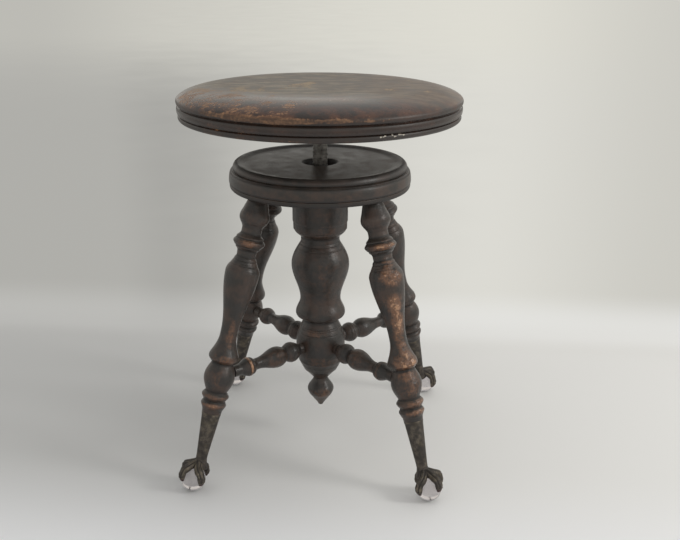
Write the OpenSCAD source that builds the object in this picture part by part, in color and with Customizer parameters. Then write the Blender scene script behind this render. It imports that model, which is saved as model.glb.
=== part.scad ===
// Revolving piano stool: a round wooden seat on an iron screw, four turned legs that lean
// out from a round block, turned stretchers, and cast claw feet that grip glass balls.
// Millimetres, +Z up. The origin is on the floor under the middle of the seat.

/* [Frame] */
// Height of the round's underside above the floor
frame_h = 363.5; // [340:0.5:390]
// Lean of each leg from upright, in degrees
leg_lean = 17.2; // [15:0.1:19]
// Distance from the stool's axis to a leg's axis at the round's underside
leg_top_r = 97.5; // [95:0.5:100]
// Gap left round a glued tenon, on the radius and at its end
glue_gap = 0.1; // [0.05:0.05:0.3]

/* [Seat] */
// Diameter of the seat
seat_d = 356; // [320:1:400]
// Thickness of the seat
seat_t = 39.5; // [34:0.5:48]
// Height of the seat's underside above the dished floor of the round, at rest
seat_gap = 57.5; // [50:0.5:80]
// Diameter of the flat middle of the seat's top
seat_flat_d = 230; // [180:1:260]

/* [Round] */
// Diameter of the round block under the seat
round_d = 233; // [226:1:260]
// Thickness of the round at its rim
round_t = 33; // [31:0.5:40]
// Diameter of the shallow dish in its top
dish_d = 211; // [205:1:216]
// Depth of that dish
dish_depth = 2.5; // [1:0.5:4]
// Diameter of the hole that the screw passes through
round_hole_d = 43; // [43:0.5:48]

/* [Post] */
// Largest diameter of the post, at its shoulder
post_d = 76.6; // [72:0.2:80]
// Diameter of the urn that the stretchers enter
urn_d = 66.2; // [62:0.2:72]
// Height of the post's lower end above the floor
post_end_h = 92; // [85:1:98]
// Diameter of the tenon at the post's top
post_tenon_d = 58; // [52:1:64]
// Length of that tenon
post_tenon_l = 13.5; // [10:0.5:16]
// Length of the turned drop under the post
drop_l = 43.5; // [34:1:50]
// Largest diameter of the drop
drop_d = 36; // [30:0.2:42]

/* [Legs] */
// Largest diameter of a leg
leg_d = 42.6; // [38:0.2:46]
// Diameter of the bulb that a stretcher enters
bulb_d = 38.8; // [36:0.2:42]
// Diameter of the tenon at a leg's top
leg_tenon_d = 20; // [16:0.5:22]
// Length of that tenon above the round's underside, along the leg
leg_tenon_l = 21; // [16:0.5:23]

/* [Stretchers] */
// Largest diameter of a stretcher
stretcher_d = 27.8; // [24:0.2:30]
// Diameter of its tenons
stretcher_tenon_d = 12; // [9:0.5:13]
// Length of the tenon that enters the post
post_peg_l = 18; // [12:0.5:20]
// Length of the tenon that enters the leg
leg_peg_l = 14; // [10:0.5:16]

/* [Screw] */
// Diameter of the iron screw
screw_d = 19; // [16:0.5:20]
// How far the seat rises above its height at rest
seat_rise = 75; // [50:1:90]
// Length of the screw that is sunk in the seat
screw_sink = 11.5; // [8:0.5:16]
// Play between the screw and its nut, on the radius
screw_play = 0.05; // [0.03:0.01:0.1]
// Diameter of the stop washer
washer_d = 28; // [26:0.5:29]
// Thickness of the stop washer
washer_t = 3; // [2:0.5:4]
// Diameter of the stop screw's shank
stop_screw_d = 8; // [6:0.5:9]
// Diameter of the stop screw's head
stop_head_d = 16; // [13:0.5:20]
// Height of the stop screw's head
stop_head_t = 5; // [3:0.5:6]
// Length of the stop screw inside the screw
stop_screw_l = 16; // [10:0.5:20]

/* [Nut] */
// Diameter of the nut's flange
nut_flange_d = 42; // [40:0.5:42.5]
// Thickness of the nut's flange
nut_flange_t = 4; // [3:0.5:5]
// Outer diameter of the nut's sleeve
nut_sleeve_d = 30; // [28:0.5:31]
// Length of the sleeve under the flange
nut_sleeve_l = 45; // [35:1:55]
// Diameter of a nut screw's shank
nut_screw_d = 2.6; // [2:0.1:3]
// Length of a nut screw
nut_screw_l = 18; // [14:1:24]

/* [Seat plate] */
// Diameter of the iron plate under the seat
plate_d = 110; // [90:1:130]
// Thickness of that plate
plate_t = 5; // [4:0.5:7]
// Diameter of its boss
boss_d = 36; // [32:0.5:40]
// Height of the boss below the plate
boss_h = 9; // [8:0.5:10]
// Diameter of the pin through the boss and the screw
cross_pin_d = 5; // [4:0.5:5.5]
// Number of wood screws in the plate
plate_screws = 4; // [3:1:8]
// Diameter of a plate screw's shank
plate_screw_d = 5; // [4:0.5:6]
// Length of a plate screw
plate_screw_l = 26; // [18:1:30]

/* [Feet] */
// Diameter of a glass ball
ball_d = 31; // [28:0.5:34]
// How far a ball stands outside its leg's axis, measured at the ball's middle
ball_out = 5.6; // [3:0.2:8]
// Depth of the worn flat under a ball
ball_flat = 0.15; // [0.1:0.05:0.4]
// Play between a ball and the claw, on the radius
ball_play = 0.1; // [0.05:0.05:0.2]
// Diameter of the shank's upper end
shank_top_d = 24.4; // [22:0.2:27]
// Diameter of the ankle, where the shank meets the claw
ankle_d = 14.2; // [12:0.2:16]
// Length of the tapered shank
shank_l = 61.5; // [50:0.5:70]
// Height of the ankle above the ball's middle, along the leg
ankle_rise = 25.4; // [24:0.2:28]
// Wall of the shank round the leg's tip
shank_wall = 2; // [1.5:0.1:3]
// Depth of the socket in the shank
socket_l = 42; // [30:1:48]
// Diameter of the nail that holds a foot on its leg
nail_d = 2.4; // [2:0.1:3]
// Width of a toe at its root
toe_w = 10.4; // [9:0.2:12]
// Thickness of a toe at its root
toe_t = 7.8; // [7:0.2:10]

/* [Hidden] */
// Overrun that lets a cut leave a solid cleanly
over = 1;
// Facets on full circles, and steps on each curve of an outline
$fn = 96;
curve_steps = 8;
// Depth and width of the fine lines cut into turned work
line_depth = 0.6;
line_w = 1.4;

// Ways in which an outline runs on to a point: straight, flowing (level at both ends), a quarter
// round that ends or starts level, or a gentler curve that settles level or swells from it
STRAIGHT = 0;
FLOW = 1;
QUICK = 2;
LEVEL = 3;
SETTLE = 4;
SWELL = 5;

// Outlines of the turned work. Each row gives the share of the length, the share of the
// piece's largest radius, and how the outline runs to that point.
seat_shares = [
    [0, 0.956, STRAIGHT], [0.105, 0.990, QUICK], [0.178, 0.984, LEVEL], [0.195, 0.976, STRAIGHT],
    [0.212, 0.984, STRAIGHT], [0.340, 0.9975, QUICK], [0.445, 0.992, LEVEL], [0.480, 0.980, STRAIGHT],
    [0.510, 0.990, STRAIGHT], [0.608, 1, QUICK]];
rim_shares = [
    [0, 0.966, STRAIGHT], [0.125, 0.9935, QUICK], [0.190, 0.9915, LEVEL], [0.206, 0.984, STRAIGHT],
    [0.225, 0.997, STRAIGHT], [0.290, 1, FLOW], [0.680, 0.975, LEVEL], [0.716, 0.968, STRAIGHT],
    [0.740, 0.946, STRAIGHT], [0.765, 0.957, STRAIGHT]];
post_shares = [
    [0, 0.945, STRAIGHT], [0.248, 0.945, STRAIGHT], [0.256, 0.926, STRAIGHT], [0.305, 0.919, STRAIGHT],
    [0.311, 0.885, STRAIGHT], [0.370, 0.664, FLOW], [0.396, 0.664, STRAIGHT], [0.410, 0.695, STRAIGHT],
    [0.570, 1, SETTLE], [0.830, 0.706, FLOW], [0.940, 0.868, FLOW], [0.962, 0.830, SWELL],
    [0.990, 0.612, STRAIGHT], [1, 0.612, STRAIGHT]];
urn_shares = [
    [0, 0.702, STRAIGHT], [0.020, 0.720, STRAIGHT], [0.360, 1, SETTLE], [0.470, 1, STRAIGHT],
    [0.674, 0.903, FLOW], [0.842, 0.680, STRAIGHT], [0.853, 0.640, STRAIGHT], [1, 0.290, STRAIGHT]];
drop_shares = [
    [0, 0.545, STRAIGHT], [0.400, 1, FLOW], [0.560, 0.885, SWELL], [0.925, 0.220, STRAIGHT],
    [1, 0, LEVEL]];
leg_shares = [
    [0, 0.520, STRAIGHT], [0.055, 0.750, STRAIGHT], [0.090, 0.868, SETTLE], [0.106, 0.815, SWELL],
    [0.109, 0.778, STRAIGHT], [0.113, 0.765, STRAIGHT], [0.142, 0.577, SETTLE],
    [0.158, 0.582, STRAIGHT], [0.176, 0.755, SWELL], [0.180, 0.792, STRAIGHT], [0.184, 0.778, STRAIGHT],
    [0.187, 0.800, STRAIGHT], [0.196, 0.900, STRAIGHT], [0.202, 0.928, SETTLE], [0.209, 0.900, SWELL],
    [0.220, 0.790, STRAIGHT], [0.222, 0.735, STRAIGHT], [0.229, 0.715, STRAIGHT],
    [0.244, 0.570, SETTLE], [0.266, 0.552, STRAIGHT], [0.275, 0.640, STRAIGHT],
    [0.285, 0.668, STRAIGHT], [0.287, 0.700, STRAIGHT], [0.297, 0.760, STRAIGHT], [0.340, 1, SETTLE],
    [0.615, 0.505, FLOW], [0.632, 0.507, STRAIGHT], [0.720, 0.853, SWELL], [0.735, 0.886, SETTLE],
    [0.744, 0.850, SWELL], [0.762, 0.640, STRAIGHT]];
bulb_shares = [
    [0.766, 0.702, STRAIGHT], [0.829, 1, SETTLE], [0.888, 0.740, SWELL], [0.896, 0.690, STRAIGHT],
    [0.908, 0.845, STRAIGHT], [0.915, 0.890, SETTLE], [0.922, 0.855, SWELL], [0.940, 0.693, STRAIGHT],
    [0.950, 0.798, STRAIGHT], [0.956, 0.830, SETTLE], [0.963, 0.800, SWELL], [0.985, 0.655, STRAIGHT]];
stretcher_shares = [
    [0, 0.530, STRAIGHT], [0.062, 0.545, STRAIGHT], [0.085, 0.700, STRAIGHT], [0.177, 0.975, SETTLE],
    [0.262, 0.690, SWELL], [0.275, 0.690, STRAIGHT], [0.385, 1, SETTLE], [0.657, 0.535, FLOW],
    [0.690, 0.535, STRAIGHT], [0.762, 0.835, FLOW], [0.768, 0.805, STRAIGHT], [0.774, 0.860, STRAIGHT],
    [0.796, 0.885, SETTLE], [0.816, 0.850, SWELL], [0.822, 0.795, STRAIGHT], [0.830, 0.810, STRAIGHT],
    [0.895, 0.560, STRAIGHT], [0.910, 0.535, STRAIGHT], [1, 0.535, STRAIGHT]];
// Places of the fine lines on the post, the urn, the legs and the stretchers
post_line_shares = [0.415, 0.445];
urn_line_shares = [0.085, 0.115, 0.185, 0.745];
leg_line_shares = [0.306];
stretcher_line_shares = [0.125, 0.165, 0.210];
// Share of a leg's length at the middle of its bulb
bulb_mid_share = 0.829;
// Share of the urn's length at the middle of the stretchers
urn_mid_share = 0.400;

// Heights
round_top = frame_h + round_t;
dish_floor = round_top - dish_depth;
seat_base = dish_floor + seat_gap;
seat_top = seat_base + seat_t;
ball_r = ball_d / 2;
ball_mid = ball_r - ball_flat;

// A leg's axis, measured from the round's underside down to the ball's level
leg_axis_l = (frame_h - ball_mid) / cos(leg_lean);
leg_l = leg_axis_l - shank_l - ankle_rise;
foot_r = leg_top_r + leg_axis_l * sin(leg_lean) + ball_out;
bulb_h = frame_h - leg_l * bulb_mid_share * cos(leg_lean);
bulb_r = leg_top_r + leg_l * bulb_mid_share * sin(leg_lean);

// The urn's middle is level with the bulbs, and the post takes the rest of its height
urn_l = (bulb_h - post_end_h) / (1 - urn_mid_share);
post_l = frame_h - post_end_h - urn_l;

// A stretcher runs from the urn's face to the bulb, and its shoulder stays just off the bulb
stretcher_gap = 0.3;
stretcher_l = bulb_r - bulb_d / 2 / cos(leg_lean) - urn_d / 2 - stretcher_gap;

// The screw, its nut and the stop
nut_top = frame_h + post_tenon_l;
nut_end = nut_top - nut_sleeve_l;
stop_gap = 0.5;
washer_top = nut_end - seat_rise - stop_gap;
washer_play = 0.15;
screw_end = washer_top + washer_play;
head_top = washer_top - washer_t - washer_play;
boss_end = seat_base - plate_t - boss_h;
seat_drop = seat_gap - plate_t - stop_gap;
bore_end_gap = 4;
bore_end = head_top - stop_head_t - seat_drop - bore_end_gap;
post_bore_r = nut_sleeve_d / 2 + glue_gap;
screw_tip_l = 3;
nut_screw_ring = (post_bore_r + nut_flange_d / 2) / 2 - glue_gap;
nut_screw_head_d = nut_screw_d * 2;
nut_screw_turn = 90;
plate_screw_ring = (plate_d + boss_d) / 4 + plate_screw_d;
plate_screw_head_d = plate_screw_d * 1.9;

// The claw: toes run from the ankle over the ball to their tips
TOE_TURNS = [0, 90, 180, 270];
toe_rings = 15;
toe_sides = 10;
// Share of a toe's length that lies between the ankle and its first knuckle
toe_bend_share = 0.36;
// Latitudes on the ball, in degrees: first knuckle and tip of a side toe, and how much higher
// the outer toe has each
knuckle_lat = 40;
knuckle_lat_rise = 13;
tip_lat = -10;
tip_lat_rise = 20;
// Distances of a toe's middle line from the ball's middle, as shares of the ball's radius
knuckle_far_share = 1.37;
tip_far_share = 1.07;
// Height of the palm's lower edge above the ball's middle, as a share of the ball's radius
palm_edge_share = 0.88;
palm_t = 4;
// Half size of a toe's section, as shares of its root size: at the root, at the first knuckle,
// in the crease, at the second knuckle, at the claw and at the tip
TOE_STOPS = [0, 0.36, 0.50, 0.62, 0.76, 1];
toe_w_shares = [0.92, 1, 0.80, 0.90, 0.68, 0.26];
toe_t_shares = [1, 1.14, 0.80, 0.94, 0.62, 0.20];

// Directions in which the legs stand
LEG_TURNS = [45, 135, 225, 315];

WOOD = "#3a241a";
IRON = "#3b3a38";
STEEL = "#77746e";
BRONZE = "#4a3f2f";
GLASS = "#dfe4e6";

// Points of one stretch of an outline, from a to b, leaving out a itself
function stretch(a, b, form) =
    form == STRAIGHT ? [b] :
    [for (i = [1:curve_steps]) let (t = i / curve_steps)
        form == FLOW ? [a[0] + (b[0] - a[0]) * t, a[1] + (b[1] - a[1]) * (1 - cos(180 * t)) / 2] :
        form == QUICK ? [a[0] + (b[0] - a[0]) * (1 - cos(90 * t)), a[1] + (b[1] - a[1]) * sin(90 * t)] :
        form == SETTLE ? [a[0] + (b[0] - a[0]) * t, a[1] + (b[1] - a[1]) * sin(90 * t)] :
        form == SWELL ? [a[0] + (b[0] - a[0]) * t, a[1] + (b[1] - a[1]) * (1 - cos(90 * t))] :
        [a[0] + (b[0] - a[0]) * sin(90 * t), a[1] + (b[1] - a[1]) * (1 - cos(90 * t))]];

// Outline of turned work: rows of shares become [along, radius] points in millimetres
function outline(rows, along, radius) =
    let (p = [for (r = rows) [r[0] * along, r[1] * radius]])
    [p[0], for (i = [1:len(rows) - 1]) each stretch(p[i - 1], p[i], rows[i][2])];

// Radius of an outline at one place along it
function radius_at(p, s) = lookup(s, p);

// Sets the points [along, radius] as a solid of revolution whose length runs down from z = 0
module turned(p) {
    rotate_extrude()
        polygon([[0, -p[0][0]], for (q = p) [q[1], -q[0]], [0, -p[len(p) - 1][0]]]);
}

// A fine V line round turned work, at s below z = 0
module fine_line(p, s) {
    r = radius_at(p, s);
    translate([0, 0, -s])
        rotate_extrude()
            polygon([[r - line_depth, 0], [r + line_depth, line_w], [r + line_depth, -line_w]]);
}

// Places a child at the four legs. The child's -Z runs down the leg from the round's underside.
module down_leg(turn) {
    rotate(turn)
        translate([leg_top_r, 0, frame_h])
            rotate([0, -leg_lean, 0])
                children();
}

// Places a child at a ball's middle, with +X pointing out from the stool's axis
module at_ball(turn) {
    rotate(turn) translate([foot_r, 0, ball_mid]) children();
}

// Wood screw with a countersunk head, its head's face at z = 0 and its point up
module wood_screw(d, head_d, l) {
    cylinder(d1 = head_d, d2 = d, h = (head_d - d) / 2);
    cylinder(d = d, h = l - screw_tip_l);
    translate([0, 0, l - screw_tip_l]) cylinder(d1 = d, d2 = d / 4, h = screw_tip_l);
}

// Room for that screw: the same shape, wider by the glue gap
module screw_room(d, head_d, l) {
    translate([0, 0, -over]) cylinder(d = head_d + 2 * glue_gap, h = over);
    cylinder(d1 = head_d + 2 * glue_gap, d2 = d + 2 * glue_gap, h = (head_d - d) / 2);
    cylinder(d = d + 2 * glue_gap, h = l + glue_gap);
}

module plate_screw_places() {
    for (i = [0:plate_screws - 1])
        rotate((i + 1 / 2) * 360 / plate_screws)
            translate([plate_screw_ring, 0, seat_base - plate_t]) children();
}

module nut_screw_places() {
    for (side = [-1, 1])
        rotate(side * nut_screw_turn)
            translate([nut_screw_ring, 0, nut_top + nut_flange_t]) mirror([0, 0, 1]) children();
}

module seat() {
    edge = outline(seat_shares, seat_t, seat_d / 2);
    roll = stretch(edge[len(edge) - 1], [seat_t, seat_flat_d / 2], LEVEL);
    color(WOOD)
        difference() {
            translate([0, 0, seat_base])
                rotate_extrude()
                    polygon([[0, 0], for (q = concat(edge, roll)) [q[1], q[0]], [0, seat_t]]);
            translate([0, 0, seat_base - over])
                cylinder(d = screw_d + 2 * glue_gap, h = screw_sink + glue_gap + over);
            plate_screw_places() screw_room(plate_screw_d, plate_screw_head_d, plate_screw_l);
        }
}

module seat_plate() {
    boss_round = boss_h / 6;
    color(IRON)
        difference() {
            union() {
                translate([0, 0, seat_base - plate_t]) cylinder(d = plate_d, h = plate_t);
                translate([0, 0, boss_end + boss_round]) cylinder(d = boss_d, h = boss_h);
                translate([0, 0, boss_end])
                    cylinder(d1 = boss_d - 2 * boss_round, d2 = boss_d, h = boss_round);
            }
            translate([0, 0, boss_end - over])
                cylinder(d = screw_d + 2 * screw_play, h = boss_h + plate_t + 2 * over);
            plate_screw_places() screw_room(plate_screw_d, plate_screw_head_d, plate_screw_l);
            cross_pin_place() cylinder(d = cross_pin_d + 2 * screw_play, h = boss_d + 2 * over, center = true);
        }
}

module seat_plate_screws() {
    color(STEEL) plate_screw_places() wood_screw(plate_screw_d, plate_screw_head_d, plate_screw_l);
}

module cross_pin_place() {
    translate([0, 0, boss_end + boss_h / 2]) rotate([0, 90, 0]) children();
}

module cross_pin() {
    color(STEEL) cross_pin_place() cylinder(d = cross_pin_d, h = boss_d - cross_pin_d / 2, center = true);
}

module screw_spindle() {
    color(STEEL)
        difference() {
            translate([0, 0, screw_end]) cylinder(d = screw_d, h = seat_base + screw_sink - screw_end);
            translate([0, 0, screw_end - over])
                cylinder(d = stop_screw_d + 2 * screw_play, h = stop_screw_l + glue_gap + over);
            cross_pin_place() cylinder(d = cross_pin_d + 2 * screw_play, h = screw_d + 2 * over, center = true);
        }
}

module stop_washer() {
    color(STEEL)
        translate([0, 0, washer_top - washer_t])
            difference() {
                cylinder(d = washer_d, h = washer_t);
                translate([0, 0, -over])
                    cylinder(d = stop_screw_d + 2 * screw_play, h = washer_t + 2 * over);
            }
}

module stop_screw() {
    color(STEEL) {
        translate([0, 0, head_top - stop_head_t]) cylinder(d = stop_head_d, h = stop_head_t);
        translate([0, 0, head_top]) cylinder(d = stop_screw_d, h = screw_end - head_top + stop_screw_l);
    }
}

module round_block() {
    edge = outline(rim_shares, round_t, round_d / 2);
    rim = stretch(edge[len(edge) - 1], [round_t, dish_d / 2], LEVEL);
    dish = stretch([round_t, dish_d / 2], [round_t - dish_depth, dish_d / 2 - 5 * dish_depth], FLOW);
    color(WOOD)
        difference() {
            translate([0, 0, frame_h])
                rotate_extrude()
                    polygon([[0, 0], for (q = concat(edge, rim, dish)) [q[1], q[0]],
                        [0, round_t - dish_depth]]);
            translate([0, 0, frame_h - over]) cylinder(d = round_hole_d, h = round_t + 2 * over);
            translate([0, 0, frame_h - over])
                cylinder(d = post_tenon_d + 2 * glue_gap, h = post_tenon_l + glue_gap + over);
            for (turn = LEG_TURNS)
                down_leg(turn)
                    translate([0, 0, -leg_tenon_l])
                        cylinder(d = leg_tenon_d + 2 * glue_gap, h = 2 * leg_tenon_l + glue_gap);
        }
}

module threaded_nut() {
    color(IRON)
        difference() {
            union() {
                translate([0, 0, nut_top]) cylinder(d = nut_flange_d, h = nut_flange_t);
                translate([0, 0, nut_end]) cylinder(d = nut_sleeve_d, h = nut_sleeve_l + over);
            }
            translate([0, 0, nut_end - over])
                cylinder(d = screw_d + 2 * screw_play, h = nut_sleeve_l + nut_flange_t + 2 * over);
            nut_screw_places() screw_room(nut_screw_d, nut_screw_head_d, nut_screw_l);
        }
}

module nut_screws() {
    color(STEEL) nut_screw_places() wood_screw(nut_screw_d, nut_screw_head_d, nut_screw_l);
}

module centre_post() {
    shaft = outline(post_shares, post_l, post_d / 2);
    urn = [for (q = outline(urn_shares, urn_l, urn_d / 2)) [q[0] + post_l, q[1]]];
    profile = concat(shaft, urn);
    color(WOOD)
        difference() {
            union() {
                translate([0, 0, frame_h]) turned(profile);
                translate([0, 0, frame_h - over]) cylinder(d = post_tenon_d, h = post_tenon_l + over);
            }
            translate([0, 0, bore_end]) cylinder(r = post_bore_r, h = nut_top - bore_end + over);
            nut_screw_places() screw_room(nut_screw_d, nut_screw_head_d, nut_screw_l);
            for (turn = LEG_TURNS) stretcher_place(turn) peg_room(-post_peg_l - glue_gap, over);
            drop_peg(glue_gap);
            translate([0, 0, frame_h]) {
                for (share = post_line_shares) fine_line(profile, share * post_l);
                for (share = urn_line_shares) fine_line(profile, post_l + share * urn_l);
            }
        }
}

// The drop's tenon, or with a gap the hole for it
module drop_peg(gap) {
    peg_d = drop_d / 3;
    translate([0, 0, post_end_h - over]) cylinder(d = peg_d + 2 * gap, h = peg_d + gap + over);
}

module drop_finial() {
    color(WOOD) {
        translate([0, 0, post_end_h]) turned(outline(drop_shares, drop_l, drop_d / 2));
        drop_peg(0);
    }
}

module leg(turn) {
    top = outline(leg_shares, leg_l, leg_d / 2);
    wall = shank_wall + glue_gap;
    tip = [[leg_l, shank_radius(0)], [leg_l, shank_radius(0) - wall],
        [leg_l + socket_l - glue_gap, shank_radius(socket_l) - wall]];
    profile = concat([[-leg_tenon_l / 2, top[0][1]]], top, outline(bulb_shares, leg_l, bulb_d / 2), tip);
    color(WOOD)
        difference() {
            down_leg(turn) {
                turned(profile);
                translate([0, 0, -leg_tenon_l / 2]) cylinder(d = leg_tenon_d, h = leg_tenon_l * 3 / 2);
            }
            shoulder_cut(turn);
            stretcher_place(turn) peg_room(stretcher_l - over, stretcher_l + leg_peg_l + glue_gap);
            nail_place(turn) cylinder(d = nail_d + 2 * glue_gap, h = nail_l() + glue_gap);
            down_leg(turn) for (share = leg_line_shares) fine_line(top, share * leg_l);
        }
}

// Cuts a leg's shoulder level with the round's underside, and leaves its tenon
module shoulder_cut(turn) {
    difference() {
        rotate(turn)
            translate([leg_top_r - leg_d, -leg_d, frame_h]) cube([2 * leg_d, 2 * leg_d, leg_d]);
        down_leg(turn) translate([0, 0, -leg_d]) cylinder(d = leg_tenon_d, h = 3 * leg_d);
    }
}

// A stretcher's axis, from the urn's face out to the leg
module stretcher_place(turn) {
    rotate(turn) translate([urn_d / 2, 0, bulb_h]) rotate([0, 90, 0]) children();
}

module peg_room(from, to) {
    translate([0, 0, from]) cylinder(d = stretcher_tenon_d + 2 * glue_gap, h = to - from);
}

module stretcher(turn) {
    profile = outline(stretcher_shares, stretcher_l, stretcher_d / 2);
    color(WOOD)
        difference() {
            stretcher_place(turn) {
                mirror([0, 0, 1]) turned(profile);
                translate([0, 0, -post_peg_l])
                    cylinder(d = stretcher_tenon_d, h = post_peg_l + stretcher_l + leg_peg_l);
            }
            stretcher_place(turn)
                for (share = stretcher_line_shares)
                    mirror([0, 0, 1]) fine_line(profile, share * stretcher_l);
        }
}

// Outer radius of the tapered shank, at s below its upper end
function shank_radius(s) = (shank_top_d + (ankle_d - shank_top_d) * s / shank_l) / 2;
function nail_l() = shank_top_d / 2;

// A nail's head lies in the shank's inner side, and its point is inside the leg's tip
module nail_place(turn) {
    down_leg(turn)
        translate([-shank_radius(socket_l / 4), 0, -leg_l - socket_l / 4]) rotate([0, 90, 0]) children();
}

module foot_nails() {
    color(STEEL) for (turn = LEG_TURNS) nail_place(turn) cylinder(d = nail_d, h = nail_l());
}

// Where the ankle meets the claw, seen from the ball's middle
function ankle_point() =
    [-ball_out - ankle_rise * sin(leg_lean), 0, ankle_rise * cos(leg_lean)];
function toe_root() = [ankle_point()[0] + palm_t / 2, 0, ankle_point()[2] - palm_t];
function far_point(turn, lat, far) =
    far * ball_r * [cos(lat) * cos(turn), cos(lat) * sin(turn), sin(lat)];
function toe_knuckle_lat(turn) = knuckle_lat + knuckle_lat_rise * cos(turn);
function toe_tip_lat(turn) = tip_lat + tip_lat_rise * max(0, cos(turn));

// Middle line of a toe: a bent stretch from the ankle to the first knuckle, then down the ball
function toe_middle(turn, u) =
    let (lat = toe_knuckle_lat(turn), k = far_point(turn, lat, knuckle_far_share), s = toe_root(),
        b = far_point(turn, lat + (90 - lat) / 2, knuckle_far_share), v = u / toe_bend_share)
    u < toe_bend_share
        ? (1 - v) * (1 - v) * s + 2 * v * (1 - v) * b + v * v * k
        : let (w = (u - toe_bend_share) / (1 - toe_bend_share))
            far_point(turn, lat + (toe_tip_lat(turn) - lat) * w,
                knuckle_far_share + (tip_far_share - knuckle_far_share) * (w + w * w) / 2);

function unit(v) = v / norm(v);
function pairs(x, y) = [for (i = [0:len(x) - 1]) [x[i], y[i]]];

// One ring of a toe's skin: an oval across the middle line
function toe_ring(turn, u) =
    let (step = 1 / 100, m = toe_middle(turn, u), side = [-sin(turn), cos(turn), 0],
        ahead = unit(toe_middle(turn, min(1, u + step)) - toe_middle(turn, max(0, u - step))),
        across = unit(side - (side * ahead) * ahead), out = cross(across, ahead),
        w = toe_w / 2 * lookup(u, pairs(TOE_STOPS, toe_w_shares)),
        t = toe_t / 2 * lookup(u, pairs(TOE_STOPS, toe_t_shares)))
    [for (j = [0:toe_sides - 1]) let (a = 360 * (j + 1 / 2) / toe_sides)
        m + w * cos(a) * across + t * sin(a) * out];

module toe(turn) {
    rings = [for (i = [0:toe_rings - 1]) each toe_ring(turn, i / (toe_rings - 1))];
    n = toe_sides;
    skin = [for (i = [0:toe_rings - 2], j = [0:n - 1])
        let (a = i * n + j, b = i * n + (j + 1) % n)
        each [[a, b, a + n], [b, b + n, a + n]]];
    last = (toe_rings - 1) * n;
    polyhedron(rings, concat([[for (j = [0:n - 1]) n - 1 - j]], skin, [[for (j = [0:n - 1]) last + j]]));
}

module claw_foot(turn) {
    palm_flare = ankle_d * 1.35;
    color(BRONZE)
        difference() {
            union() {
                down_leg(turn) {
                    translate([0, 0, -leg_l - shank_l])
                        cylinder(d1 = ankle_d, d2 = shank_top_d, h = shank_l);
                    translate([0, 0, -leg_l - shank_l - palm_t * 2])
                        cylinder(d1 = palm_flare, d2 = ankle_d, h = palm_t * 2);
                }
                at_ball(turn) {
                    intersection() {
                        sphere(r = ball_r + palm_t);
                        translate([-2 * ball_r, -2 * ball_r, palm_edge_share * ball_r])
                            cube([4 * ball_r, 4 * ball_r, ball_r]);
                    }
                    for (t = TOE_TURNS) toe(t);
                }
            }
            at_ball(turn) sphere(r = ball_r + ball_play);
            down_leg(turn)
                translate([0, 0, -leg_l - socket_l])
                    cylinder(r1 = shank_radius(socket_l) - shank_wall, r2 = shank_top_d / 2 - shank_wall,
                        h = socket_l);
            nail_place(turn)
                translate([0, 0, -over]) cylinder(d = nail_d + 2 * glue_gap, h = nail_l() + over);
        }
}

module glass_ball(turn) {
    color(GLASS)
        at_ball(turn)
            intersection() {
                sphere(d = ball_d);
                translate([-ball_d / 2, -ball_d / 2, -ball_mid]) cube([ball_d, ball_d, ball_d]);
            }
}

seat();
seat_plate();
seat_plate_screws();
screw_spindle();
cross_pin();
stop_washer();
stop_screw();
round_block();
threaded_nut();
nut_screws();
centre_post();
drop_finial();
leg(LEG_TURNS[0]);  // leg_1
leg(LEG_TURNS[1]);  // leg_2
leg(LEG_TURNS[2]);  // leg_3
leg(LEG_TURNS[3]);  // leg_4
stretcher(LEG_TURNS[0]);  // stretcher_1
stretcher(LEG_TURNS[1]);  // stretcher_2
stretcher(LEG_TURNS[2]);  // stretcher_3
stretcher(LEG_TURNS[3]);  // stretcher_4
claw_foot(LEG_TURNS[0]);  // claw_foot_1
claw_foot(LEG_TURNS[1]);  // claw_foot_2
claw_foot(LEG_TURNS[2]);  // claw_foot_3
claw_foot(LEG_TURNS[3]);  // claw_foot_4
foot_nails();
glass_ball(LEG_TURNS[0]);  // glass_ball_1
glass_ball(LEG_TURNS[1]);  // glass_ball_2
glass_ball(LEG_TURNS[2]);  // glass_ball_3
glass_ball(LEG_TURNS[3]);  // glass_ball_4
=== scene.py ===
import math

import bmesh
import bpy
from mathutils import Matrix, Vector


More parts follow.
